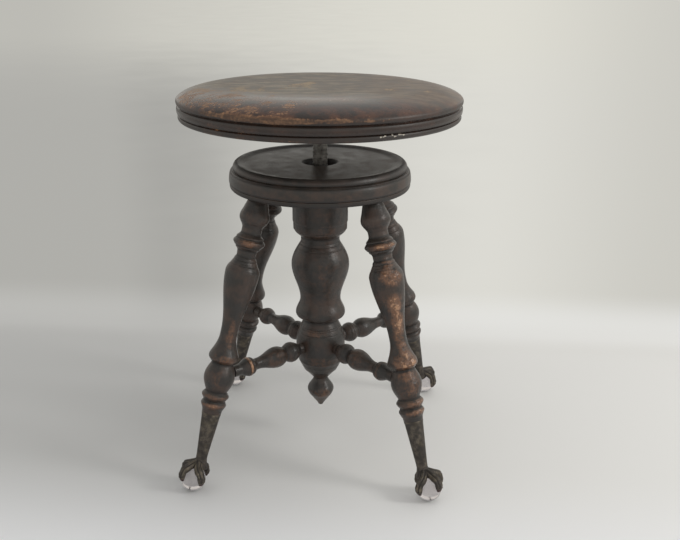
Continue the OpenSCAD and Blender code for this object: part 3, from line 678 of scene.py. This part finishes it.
# Between the stretchers' shoulders and the bulbs
shoulder_gap = 0.0003
bulb_out = leg_top_r + leg_l * bulb_share * math.sin(leg_lean)
stretcher_l = bulb_out - bulb_r / math.cos(leg_lean) - urn_r - shoulder_gap
stretcher_rows = [
    (0, 0.530, ""), (0.062, 0.545, "straight"), (0.085, 0.700, "straight"), (0.177, 0.975, "settle"),
    (0.262, 0.690, "swell"), (0.275, 0.690, "straight"), (0.385, 1, "settle"), (0.657, 0.535, "flow"),
    (0.690, 0.535, "straight"), (0.762, 0.835, "flow"), (0.768, 0.805, "straight"),
    (0.774, 0.860, "straight"), (0.796, 0.885, "settle"), (0.816, 0.850, "swell"),
    (0.822, 0.795, "straight"), (0.830, 0.810, "straight"), (0.895, 0.560, "straight"),
    (0.910, 0.535, "straight"), (1, 0.535, "straight")]
stretcher_lines = [0.125, 0.165, 0.210]
stretcher_patches = {
    1: [(0.090, 0, 0.003, 200, 0.40)],
    2: [],
    3: [(0.0895, 0, 0.0026, 200, 0.80), (0.050, 60, 0.018, 60, 0.36)],
    4: [(0.0895, 0, 0.0026, 200, 0.30), (0.045, -60, 0.018, 60, 0.30)]}

stretcher_line = outline(stretcher_rows, stretcher_l, stretcher_r, 0.0008)
stretcher_line = softened(scored(stretcher_line, [share * stretcher_l for share in stretcher_lines]))
stretcher_line = [(-post_peg_l, 0), (-post_peg_l, peg_r), (0, peg_r)] + stretcher_line
stretcher_line += [(stretcher_l, peg_r), (stretcher_l + leg_peg_l, peg_r), (stretcher_l + leg_peg_l, 0)]
for number, turn in enumerate(LEG_TURNS, 1):
    place = Matrix.Rotation(turn, 4, "Z") @ Matrix.Translation((urn_r, 0, bulb_h))
    place = place @ Matrix.Rotation(-math.pi / 2, 4, "Y")
    shape = turned(stretcher_line, place, 80, stretcher_patches[number], shift=4 + number)
    rail = dress(cast_off(f"turned_stretcher_{number}", shape, 50), leg_wood)
    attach(rail, "base")
    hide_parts(f"stretcher_{number}")


# Round. A disc of wood with a bead, a tapered band and a rim moulding, and a shallow dish on top.
# The legs and the post are glued into its underside, and the screw passes through its middle.
round_low, round_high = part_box("round_block")
round_r = (round_high.x - round_low.x) / 2
round_t = round_high.z - round_low.z
dish_r = 0.1055
dish_depth = 0.0025
dish_slope_w = 0.0125
slope_steps = 12
hole_r = 0.0215
hole_ease = 0.0004
under_r = 0.100
rim_rows = [
    (0, 0.966, ""), (0.125, 0.9935, "quick"), (0.190, 0.9915, "level"), (0.206, 0.984, "straight"),
    (0.225, 0.997, "straight"), (0.290, 1, "flow"), (0.680, 0.975, "level"), (0.716, 0.968, "straight"),
    (0.740, 0.946, "straight"), (0.765, 0.957, "straight"), (1, dish_r / round_r, "level")]
round_line = outline(rim_rows, round_t, round_r, 0.0008)
dish_floor = round_t - dish_depth
for index in range(1, slope_steps + 1):
    sink = (1 - math.cos(math.pi * index / slope_steps)) / 2
    round_line.append((round_t - dish_depth * sink, dish_r - dish_slope_w * index / slope_steps))
# The flat of the dish has a ring of points every 4 mm
round_line = ([(0, hole_r), (0, under_r)] + softened(round_line)
              + [(dish_floor, radius / 1000) for radius in range(90, 22, -4)]
              + [(dish_floor, hole_r + hole_ease), (dish_floor - hole_ease, hole_r), (0, hole_r)])
round_wood = old_wood("round_wood", along=(0.07, 1, 1), dusty=0.3, sheen=0.36, depth=0.00008)
# The outline runs upwards, so it is turned with its sign changed, and a patch lies at minus its height
round_patches = [(-0.0010, -88, 0.0022, 36, 0.30), (-0.0170, -70, 0.0050, 20, 0.10)]
shape = turned([(-along, radius) for along, radius in round_line], Matrix.Translation((0, 0, frame_h)), 256,
               round_patches)
disc = dress(cast_off("turned_round", shape, 50), round_wood)
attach(disc, "base")
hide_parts("round_block")


# Screw. A bar of iron with a coarse square thread at a lead of 5 mm, fixed in the seat and working in
# the nut. Old grease darkens it in patches.
screw_low, screw_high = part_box("screw_spindle")
screw_r = (screw_high.x - screw_low.x) / 2
thread_lead = 0.0050
thread_depth = 0.0006
steps_round = 48
# One tooth of the thread: height, and how far it stands out from the bar
tooth = [(0, -thread_depth), (0.0012, -thread_depth), (0.0016, 0), (0.0046, 0), (thread_lead, -thread_depth)]
shape = bmesh.new()
chain = [shape.verts.new((screw_r + depth, 0, screw_low.z - thread_lead + up)) for up, depth in tooth]
links = [shape.edges.new(pair) for pair in zip(chain, chain[1:])]
bmesh.ops.spin(shape, geom=chain + links, cent=(0, 0, 0), axis=(0, 0, 1), angle=math.tau,
               dvec=(0, 0, thread_lead / steps_round), steps=steps_round)
turns = 1
while turns * thread_lead < screw_high.z - screw_low.z + 2 * thread_lead:
    doubled(shape, Matrix.Translation((0, 0, turns * thread_lead)))
    turns *= 2
bmesh.ops.remove_doubles(shape, verts=shape.verts, dist=1e-5)
cut(shape, shape.verts[:], (0, 0, screw_low.z), (0, 0, -1))
cut(shape, shape.verts[:], (0, 0, screw_high.z), (0, 0, 1))
bmesh.ops.recalc_face_normals(shape, faces=shape.faces)

STEEL = (0.240, 0.228, 0.210, 1)
STEEL_GRIME = (0.090, 0.082, 0.072, 1)

steel = Finish("worn_steel")
steel_place = steel.place()
steel_lines = steel.clouds(steel.stretched(steel_place, (1, 1, 0.2)), 900, 3, 0.6)
steel_grime = steel.clouds(steel_place, 160, 4, 0.6)
steel_tone = steel.over(steel_grime.between(0.34, 0.74), STEEL, STEEL_GRIME)
steel.coat(Base_Color=steel_tone, Metallic=0.75, Roughness=0.32 + 0.2 * steel_grime)
steel.coat(Normal=steel.bump(steel_lines, 0.0001))
screw = dress(cast_off("threaded_screw", shape, 30), steel)
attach(screw, "seat")
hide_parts("screw_spindle")


# Iron and small hardware. The nut and the seat plate are sand castings, blacked and oiled; the screws,
# the pin, the nails and the stop are plain steel. They keep their solids and get their finish here.
IRON = (0.058, 0.056, 0.053, 1)
IRON_RUST = (0.080, 0.058, 0.044, 1)

iron = Finish("oiled_iron")
iron_grain = iron.clouds(iron.place(), 700, 4, 0.6)
iron_rust = iron.clouds(iron.place(), 90, 4, 0.6)
iron_tone = iron.over(iron_rust.between(0.50, 0.70), IRON, IRON_RUST)
iron.coat(Base_Color=iron_tone, Metallic=0.5, Roughness=0.50 + 0.25 * iron_grain)
iron.coat(Normal=iron.bump(iron_grain, 0.0004))
for node in ("seat_plate", "threaded_nut"):
    dress(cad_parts[node], iron)
for node in ("seat_plate_screws", "cross_pin", "stop_washer", "stop_screw", "nut_screws", "foot_nails"):
    dress(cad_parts[node], steel)


# Seat. A thick disc glued up from boards, its top edge rolled over and its side cut with two beads.
# Hands and years have rubbed the front edge down to the wood, and the top is dull and scratched.
seat_low, seat_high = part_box("seat")
seat_r = (seat_high.x - seat_low.x) / 2
seat_t = seat_high.z - seat_low.z
seat_flat_r = 0.1150
# The screw's end stands in a hole in the underside
screw_hole_l = 0.0115
screw_hole_r = 0.0096
seat_rows = [
    (0, 0.956, ""), (0.105, 0.990, "quick"), (0.178, 0.984, "level"), (0.195, 0.976, "straight"),
    (0.212, 0.984, "straight"), (0.340, 0.9975, "quick"), (0.445, 0.992, "level"),
    (0.480, 0.980, "straight"), (0.510, 0.990, "straight"), (0.608, 1, "quick"),
    (1, seat_flat_r / seat_r, "level")]
seat_line = softened(outline(seat_rows, seat_t, seat_r, 0.0010))
# The underside has a ring of points every 10 mm, and the flat of the top every 5 mm
seat_line = ([(screw_hole_l, 0), (screw_hole_l, screw_hole_r), (0, screw_hole_r)]
             + [(0, radius / 1000) for radius in range(20, 170, 10)] + seat_line
             + [(seat_t, radius / 1000) for radius in range(110, 4, -5)] + [(seat_t, 0)])
# Worn places on the side: minus the height, direction, half height, half width and strength
side_patches = [
    (-0.0248, -104, 0.0037, 28, 1.50), (-0.0335, -118, 0.0070, 20, 0.34), (-0.0320, -150, 0.0090, 20, 0.34),
    (-0.0270, -72, 0.0050, 12, 0.22), (-0.0242, -63, 0.0016, 8, 0.46), (-0.0290, -36, 0.0060, 18, 0.20),
    (-0.0016, -85, 0.0026, 60, 0.28), (-0.0100, -128, 0.0040, 20, 0.20)]
# Worn places on the top: X, Y, half sizes along and across the grain, and strength
top_patches = [
    (-0.0160, 0.0130, 0.009, 0.020, 0.75), (-0.0310, -0.0020, 0.009, 0.014, 0.70),
    (0.0865, -0.0340, 0.014, 0.018, 0.60), (-0.0850, -0.0440, 0.040, 0.030, 0.30),
    (-0.0920, -0.0920, 0.012, 0.014, 0.60), (-0.0200, -0.1450, 0.008, 0.016, 0.75),
    (0.1330, -0.0330, 0.010, 0.016, 0.40), (-0.1450, -0.0300, 0.018, 0.050, 0.26),
    (0.1100, 0.0650, 0.008, 0.030, 0.35)]
# The top's worn places begin at this share of the seat's thickness
top_from = 0.70
# Where the top's varnish has gone dull: X, Y, squeeze along X, radius and width of the soft edge
dull_patches = [(-0.008, 0.050, 0.82, 0.165, 0.050), (0.104, -0.026, 1, 0.108, 0.060)]
# The largest chips in the lower bead: direction and half width in degrees, and share of the thickness
chips = [
    (-62.6, 0.9, 0.145), (-61.0, 0.5, 0.165), (-58.2, 0.5, 0.170), (-57.0, 0.4, 0.130),
    (-54.9, 0.6, 0.168), (-53.4, 0.3, 0.150)]
chip_half_h = 0.022

shape = turned([(-along, radius) for along, radius in seat_line], Matrix.Translation((0, 0, seat_low.z)), 384,
               side_patches)
bare = shape.verts.layers.float["bare"]
dull = shape.verts.layers.float.new("dull")
chipped = shape.verts.layers.float.new("chipped")
for point in shape.verts:
    x, y, z = point.co
    height = (z - seat_low.z) / seat_t
    if height > top_from:
        for patch_x, patch_y, half_x, half_y, strength in top_patches:
            off = ((x - patch_x) / half_x) ** 2 + ((y - patch_y) / half_y) ** 2
            point[bare] += strength * math.exp(-off)
        for patch_x, patch_y, squeeze, radius, edge in dull_patches:
            far = math.hypot(squeeze * (x - patch_x), y - patch_y)
            point[dull] = max(point[dull], min(1, (radius - far) / edge))
    for direction, half_turn, level in chips:
        off = math.remainder(math.atan2(y, x) - math.radians(direction), math.tau) / math.radians(half_turn)
        point[chipped] += math.exp(-off ** 4 - ((height - level) / chip_half_h) ** 4)

VARNISH_DARK = (0.026, 0.018, 0.015, 1)
VARNISH_RED = (0.086, 0.037, 0.023, 1)
VARNISH_THIN = (0.105, 0.046, 0.022, 1)
DULL_DARK = (0.104, 0.085, 0.061, 1)
DULL_TAN = (0.196, 0.160, 0.112, 1)
DULL_BROWN = (0.135, 0.086, 0.056, 1)
TIMBER_DARK = (0.130, 0.062, 0.032, 1)
TIMBER_LIGHT = (0.400, 0.208, 0.100, 1)
TIMBER_TAN = (0.430, 0.335, 0.220, 1)
CRAZING = (0.020, 0.016, 0.013, 1)
GROOVE_GRIME_AND_SHADE = (0.026, 0.022, 0.019, 1)
CHIP_PALE = (0.420, 0.380, 0.320, 1)

seat_wood = Finish("seat_wood")
seat_stock = seat_wood.mark("stock", "Vector")
seat_rub, seat_bare = seat_wood.mark("rub"), seat_wood.mark("bare")
seat_dull = seat_wood.mark("dull")
seat_grain = seat_wood.stretched(seat_stock, (0.10, 1, 1))
seat_figure = seat_wood.clouds(seat_grain, 210, 5, 0.62)
seat_streaks = seat_wood.clouds(seat_wood.stretched(seat_stock, (0.32, 1, 1)), 95, 5, 0.66)
seat_mottle = seat_wood.clouds(seat_stock, 48, 5, 0.62)
seat_specks = seat_wood.clouds(seat_stock, 330, 4, 0.68)
seat_net = seat_wood.cracks(seat_stock, 420)
seat_uneven = 3.0 * (seat_mottle - 0.5) + 2.0 * (seat_specks - 0.5) + 1.2 * (seat_figure - 0.5)
seat_worn = seat_bare + 0.06 * seat_rub + (0.5 + 0.5 * seat_bare) * seat_uneven
seat_bared = seat_worn.between(0.45, 0.58)
seat_thin = seat_worn.between(0.12, 0.50)
seat_scuff = (seat_streaks + 0.6 * (seat_mottle - 0.5) + 0.5 * (seat_figure - 0.5)).between(0.42, 0.64)
seat_roll = seat_wood.part(seat_stock, "Z").between(0.0215, 0.0250)
seat_red = seat_mottle.between(0.36, 0.66) * (0.25 + 0.75 * seat_roll)
varnish = seat_wood.over(seat_red, VARNISH_DARK, VARNISH_RED)
varnish = seat_wood.over(0.5 * seat_thin, varnish, VARNISH_THIN)
worn_top = seat_wood.over(seat_scuff, DULL_DARK, DULL_TAN)
seat_right = seat_wood.part(seat_stock, "X").between(-0.02, 0.13)
worn_top = seat_wood.over(0.6 * seat_right, worn_top, DULL_BROWN)
seat_tone = seat_wood.over(seat_dull.between(0.10, 0.90) * (0.55 + 0.45 * seat_scuff), varnish, worn_top)
seat_pale = (seat_figure + seat_specks).between(0.88, 1.24)
seat_timber = seat_wood.over(seat_pale, TIMBER_DARK, TIMBER_LIGHT)
seat_tan = seat_wood.over(0.8 * seat_dull, seat_timber, TIMBER_TAN)
seat_tone = seat_wood.over(0.85 * seat_bared, seat_tone, seat_tan)
seat_crazed = seat_bared * (1 - seat_net.between(0.02, 0.10))
seat_tone = seat_wood.over(0.35 * seat_crazed, seat_tone, CRAZING)
# Grime and painted shade darken the grooves and the cove under the roll
seat_hollow = (0.5 * (seat_mottle - 0.5) - seat_rub).between(0.30, 0.90)
seat_tone = seat_wood.over(0.5 * seat_hollow, seat_tone, GROOVE_GRIME_AND_SHADE)
seat_chip = (seat_wood.mark("chipped") + 2.0 * (seat_specks - 0.5)).between(0.50, 0.70)
seat_tone = seat_wood.over(seat_chip, seat_tone, CHIP_PALE)
seat_wood.coat(Base_Color=seat_tone, IOR=1.5)
seat_rough = 0.25 + 0.21 * seat_dull + 0.16 * seat_bared + 0.16 * (seat_mottle - 0.5) + 0.2 * seat_hollow
seat_wood.coat(Roughness=seat_rough)
seat_height = 0.6 * seat_specks + 0.5 * seat_figure + 0.3 * seat_streaks - 0.9 * seat_bared - 0.8 * seat_chip
seat_wood.coat(Normal=seat_wood.bump(seat_height, 0.00018))
top = dress(cast_off("turned_seat", shape, 50), seat_wood)
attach(top, "seat")
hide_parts("seat")


# Floor, light and camera. The stool stands on a sheet of pale paper in soft daylight from the right,
# and the camera looks at it from just above the seat, as in the photograph.
# Paper tones, with painted light and shade among them
PAPER_SHADE = (0.612, 0.612, 0.607, 1)
PAPER_LIT = (0.860, 0.855, 0.840, 1)
PAPER_FRONT_LIGHT = (0.950, 0.958, 0.985, 1)
PAPER_FOLD_HIGHLIGHT = (0.940, 0.940, 0.930, 1)
PAPER_PLAIN = (0.720, 0.720, 0.710, 1)
PAPER_FAR = (0.930, 0.925, 0.900, 1)
WALL_SHADE = (0.430, 0.425, 0.400, 1)
WALL_LIT = (0.720, 0.710, 0.660, 1)
WALL_STOOL_SHADOW = (0.100, 0.100, 0.100, 1)
WALL_UPPER_LIGHT = (0.740, 0.725, 0.650, 1)
WALL_RIGHT_SHADE = (0.600, 0.590, 0.545, 1)
WALL_FOLD_HIGHLIGHT = (0.850, 0.850, 0.835, 1)
HORIZON = (0.850, 0.825, 0.760, 1)

paper = Finish("pale_paper")
paper_place = paper.place()
paper_y = paper.part(paper_place, "Y")
paper_side = (paper.part(paper_place, "X") - 0.10) / paper.math("MAXIMUM", paper_y + 1.12, 0.6)
paper_waves = paper.clouds(paper_place, 3.2, 2, 0.5)
# Painted light across the sheet: dim to the left, bright to the right, uneven with its waves
paper_light = (paper_side + 0.10 * (paper_waves - 0.5)).between(-0.34, 0.14)
# A painted highlight along the sheet's soft fold
fold_highlight = paper_y.between(0.31, 0.38) * (1 - paper_y.between(0.42, 0.62))
# The sheet under the stool: painted shade on the left, painted light in front, a painted highlight on a soft
# fold behind
near_tone = paper.over(paper_light, PAPER_SHADE, PAPER_LIT)
near_tone = paper.over(1 - paper_y.between(-0.36, -0.06), near_tone, PAPER_FRONT_LIGHT)
near_tone = paper.over((0.12 + 0.35 * paper_light) * fold_highlight, near_tone, PAPER_FOLD_HIGHLIGHT)
near_tone = paper.over(1 - paper_y.between(-0.90, -0.40), near_tone, PAPER_PLAIN)
paper_out = paper.add("VectorMath", {"operation": "LENGTH"}, {0: paper_place}, "Value")
near_tone = paper.over(paper_out.between(2.5, 9.0), near_tone, PAPER_FAR)
paper.coat(Base_Color=near_tone, Roughness=0.8)
# Past its fold the sheet stands for the wall behind the stool: it glows for seen rays, with painted light and
# shade
far_tone = paper.over(paper_light, WALL_SHADE, WALL_LIT)
# A painted shadow of the stool on the wall, to its left
paper_shade = paper_side.between(-0.34, -0.26) * (1 - paper_side.between(-0.24, -0.15))
paper_rise = (paper_y + 0.5 * paper_waves).between(2.5, 7.0)
far_tone = paper.over(0.16 * paper_shade * (1 - paper_rise), far_tone, WALL_STOOL_SHADOW)
# Painted light brightens the upper wall, more at its left edge and where the light falls
upper_light_share = 0.24 + 0.22 * paper_side.between(-0.42, -0.26) + 0.20 * paper_light
far_tone = paper.over(paper_rise * upper_light_share, far_tone, WALL_UPPER_LIGHT)
# Painted shade darkens the wall towards the right
far_tone = paper.over(paper_side.between(0.07, 0.34), far_tone, WALL_RIGHT_SHADE)
far_tone = paper.over(paper_out.between(14, 45), far_tone, HORIZON)
# The painted highlight along the fold, on the wall side too
far_tone = paper.over((0.18 + 0.42 * paper_light) * fold_highlight, far_tone, WALL_FOLD_HIGHLIGHT)
wall_glow = paper.add("Emission", {}, {"Color": far_tone, "Strength": 1.0})
paper_share = paper.seen() * paper_y.between(0.26, 0.56)
paper_lit = Tap(paper, paper.shader.outputs[0])
paper_mix = paper.add("MixShader", {}, {0: paper_share, 1: paper_lit, 2: wall_glow})
paper.feed(paper.tree.nodes["Material Output"].inputs["Surface"], paper_mix)
floor_r = 60
floor_gap = 0.0003
shape = bmesh.new()
bmesh.ops.create_circle(shape, cap_ends=True, segments=96, radius=floor_r)
bmesh.ops.translate(shape, vec=(0, 0, -floor_gap), verts=shape.verts)
floor = cast_off("floor", shape)
floor.data.materials.append(paper.material)

# The sky is pale in front, warmer behind, grey overhead and bright towards the window on the right
SKY_FRONT = (0.90, 0.89, 0.86, 1)
SKY_BACK = (0.84, 0.80, 0.715, 1)
SKY_TOP = (0.52, 0.52, 0.51, 1)
SKY_WINDOW = (1.15, 1.14, 1.10, 1)

sky = Finish("daylight", bpy.data.worlds, "Background")
bpy.context.scene.world = sky.material
sky_place = sky.place("Generated")
sky_window = sky.part(sky_place, "X").between(-0.3, 0.9)
sky_wall = sky.part(sky_place, "Y").between(-0.1, 0.8)
sky_high = sky.part(sky_place, "Z").between(0.20, 0.48)
sky_tone = sky.over(sky_wall, SKY_FRONT, SKY_BACK)
sky_tone = sky.over(0.95 * sky_high, sky_tone, SKY_TOP)
sky_tone = sky.over(0.6 * sky_window, sky_tone, SKY_WINDOW)
sky_low = 1 - sky.part(sky_place, "Z").between(0.12, 0.40)
sky_tone = sky.over(sky.seen() * sky_low, sky_tone, HORIZON)
sky.coat(Color=sky_tone, Strength=1.0)

window_place = Vector((1.80, -0.50, 1.20))
window_aim = Vector((0, 0, 0.25))
window = bpy.data.lights.new("window", "AREA")
window.shape = "RECTANGLE"
window.size, window.size_y = 0.45, 0.65
window.energy = 10
window.color = (1.0, 0.98, 0.95)
pane = bpy.data.objects.new("window", window)
bpy.context.scene.collection.objects.link(pane)
pane.location = window_place
pane.rotation_euler = (window_aim - window_place).to_track_quat("-Z", "Y").to_euler()

# Angles in radians, as read from the stool's round edges and its feet in the photograph
camera_place = Vector((0.1010, -1.1204, 0.6424))
camera_heading = 0.0667
camera_tilt = 0.3374
camera_roll = 0.0050
# The focal length over the picture's width, both in pixels
focal_share = 895.04 / 680
view = bpy.data.cameras.new("view")
view.sensor_width = 36
view.lens = view.sensor_width * focal_share
camera = bpy.data.objects.new("view", view)
bpy.context.scene.collection.objects.link(camera)
camera.matrix_world = (Matrix.Translation(camera_place) @ Matrix.Rotation(camera_heading, 4, "Z")
                       @ Matrix.Rotation(math.pi / 2 - camera_tilt, 4, "X")
                       @ Matrix.Rotation(camera_roll, 4, "Z"))
bpy.context.scene.camera = camera
bpy.context.scene.view_settings.view_transform = "Standard"
